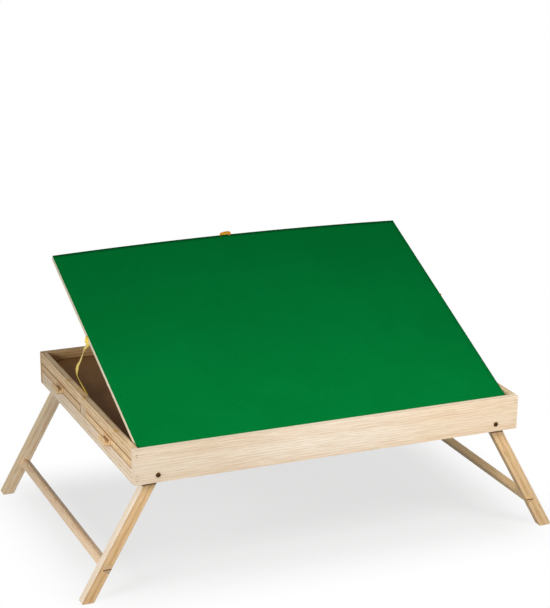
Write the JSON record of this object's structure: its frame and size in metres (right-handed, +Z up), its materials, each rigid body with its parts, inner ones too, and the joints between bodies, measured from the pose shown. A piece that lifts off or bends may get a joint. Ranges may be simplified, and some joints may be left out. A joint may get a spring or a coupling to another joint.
{
  "type": "tilting puzzle board with drawers",
  "caption": "Lap table for jigsaw puzzles: a felt-covered board tilts up from a wooden tray on folding splayed legs, with shallow sorting drawers in both ends.",
  "frame": {"origin": "on the floor under the middle of the case, legs open", "axes": "+X to the right as the sitter sees it, +Y to the back, where the board rises, +Z up"},
  "size_m": [0.9556, 0.5802, 0.5131],
  "materials": {
    "pale_wood": "sanded, clear satin",
    "leg_wood": "sanded, clear satin",
    "hardboard": "smooth face",
    "plywood": "raw plywood",
    "green_felt": "short nap felt",
    "gold_ribbon": "woven satin ribbon",
    "bronze_steel": "dark bronze plated",
    "zinc_steel": "zinc plated"
  },
  "bodies": {
    "case": {"back_rail": "pale_wood", "bay_floor": "hardboard", "centre_stops": "pale_wood", "corner_brads": "bronze_steel", "drawer_divider": "pale_wood", "front_rail": "pale_wood", "hinge_pins": "zinc_steel", "hinge_rail_leaves": "zinc_steel", "hinge_rail_screws": "zinc_steel", "left_bottom_rail": "pale_wood", "left_leg_stop": "pale_wood", "left_top_rail": "pale_wood", "pivot_bolts": "bronze_steel", "pivot_nuts": "zinc_steel", "pivot_washers": "zinc_steel", "right_bottom_rail": "pale_wood", "right_leg_stop": "pale_wood", "right_top_rail": "pale_wood", "stay_track": "zinc_steel", "tray_floor": "hardboard"},
    "board": {"board_sheet": "plywood", "board_felt": "green_felt", "left_batten": "pale_wood", "right_batten": "pale_wood", "front_batten": "pale_wood", "hinge_board_leaves": "zinc_steel", "hinge_board_screws": "zinc_steel", "pull_loop": "gold_ribbon", "stay_pin": "zinc_steel", "left_ribbon": "gold_ribbon", "right_ribbon": "gold_ribbon"},
    "stay": {"stay_arm": "zinc_steel", "stay_stud": "zinc_steel"},
    "left_legs": {"left_front_leg": "leg_wood", "left_back_leg": "leg_wood", "left_stretcher": "leg_wood"},
    "right_legs": {"right_front_leg": "leg_wood", "right_back_leg": "leg_wood", "right_stretcher": "leg_wood"},
    "left_front_drawer": {"left_front_drawer_front": "pale_wood", "left_front_drawer_pull": "pale_wood", "left_front_drawer_walls": "pale_wood", "left_front_drawer_bottom": "hardboard"},
    "left_back_drawer": {"left_back_drawer_front": "pale_wood", "left_back_drawer_pull": "pale_wood", "left_back_drawer_walls": "pale_wood", "left_back_drawer_bottom": "hardboard"},
    "right_front_drawer": {"right_front_drawer_front": "pale_wood", "right_front_drawer_pull": "pale_wood", "right_front_drawer_walls": "pale_wood", "right_front_drawer_bottom": "hardboard"},
    "right_back_drawer": {"right_back_drawer_front": "pale_wood", "right_back_drawer_pull": "pale_wood", "right_back_drawer_walls": "pale_wood", "right_back_drawer_bottom": "hardboard"}
  },
  "joints": [
    {"name": "board_tilt", "type": "hinge", "parent": "case", "child": "board", "pos_m": [0, -0.2727, 0.27835], "axis": [1, 0, 0], "range_deg": [-23.8, 12.2], "deforming": ["left_ribbon", "right_ribbon"]},
    {"name": "stay_swing", "type": "hinge", "parent": "board", "child": "stay", "pos_m": [0, -0.15551, 0.32238], "axis": [1, 0, 0], "range_deg": [-24.4, 47.6]},
    {"name": "left_leg_fold", "type": "hinge", "parent": "case", "child": "left_legs", "pos_m": [-0.335, 0, 0.23355], "axis": [0, -1, 0], "range_deg": [0, 119.6]},
    {"name": "right_leg_fold", "type": "hinge", "parent": "case", "child": "right_legs", "pos_m": [0.335, 0, 0.23355], "axis": [0, 1, 0], "range_deg": [0, 119.6]},
    {"name": "left_front_drawer_slide", "type": "slide", "parent": "case", "child": "left_front_drawer", "axis": [-1, 0, 0], "range_m": [0, 0.3]},
    {"name": "left_back_drawer_slide", "type": "slide", "parent": "case", "child": "left_back_drawer", "axis": [-1, 0, 0], "range_m": [0, 0.3]},
    {"name": "right_front_drawer_slide", "type": "slide", "parent": "case", "child": "right_front_drawer", "axis": [1, 0, 0], "range_m": [0, 0.3]},
    {"name": "right_back_drawer_slide", "type": "slide", "parent": "case", "child": "right_back_drawer", "axis": [1, 0, 0], "range_m": [0, 0.3]}
  ],
  "couplings": [
    {"joint": "stay_swing", "follows": "board_tilt", "ratio": -2}
  ]
}
